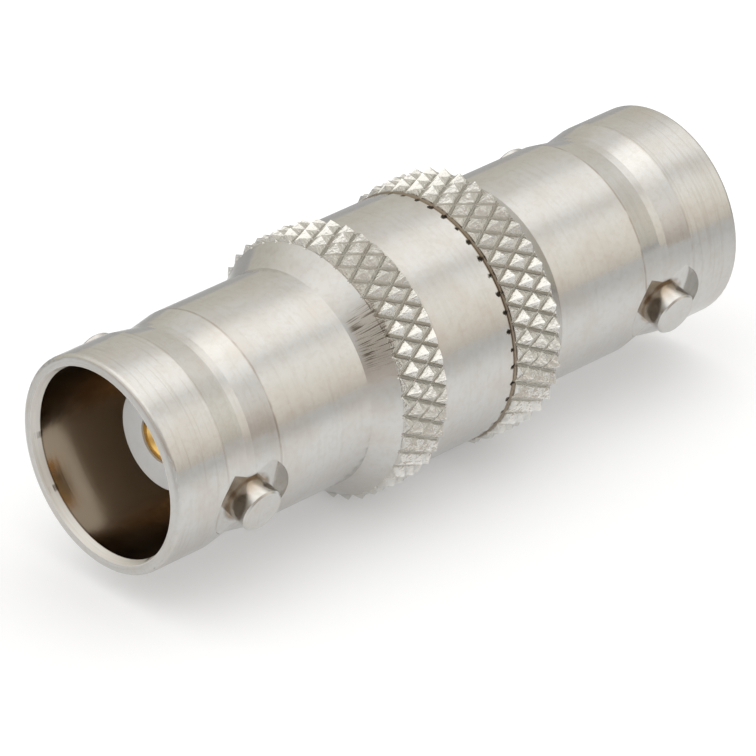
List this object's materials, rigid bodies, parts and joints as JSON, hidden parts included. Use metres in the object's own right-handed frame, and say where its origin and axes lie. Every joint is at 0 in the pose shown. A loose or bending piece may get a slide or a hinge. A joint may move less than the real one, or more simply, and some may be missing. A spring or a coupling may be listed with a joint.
{
  "type": "bnc jack to jack adapter",
  "caption": "Straight in-line coaxial adapter with a bayonet jack at each end, for joining two plugs.",
  "frame": {"origin": "centre of the end body's mouth face, which the part stands on", "axes": "+Z along the axis from the end body's mouth to the main body's mouth; +X through the bayonet lugs"},
  "size_m": [0.0118, 0.0118, 0.0325],
  "materials": {
    "nickel_shell": "satin nickel plate over brass",
    "insulator": "turned fluoropolymer",
    "gold_contact": "gold plate"
  },
  "bodies": {
    "root": {"main_body": "nickel_shell", "end_body": "nickel_shell", "main_insulator": "insulator", "end_insulator": "insulator", "centre_contact": "gold_contact"}
  },
  "joints": []
}
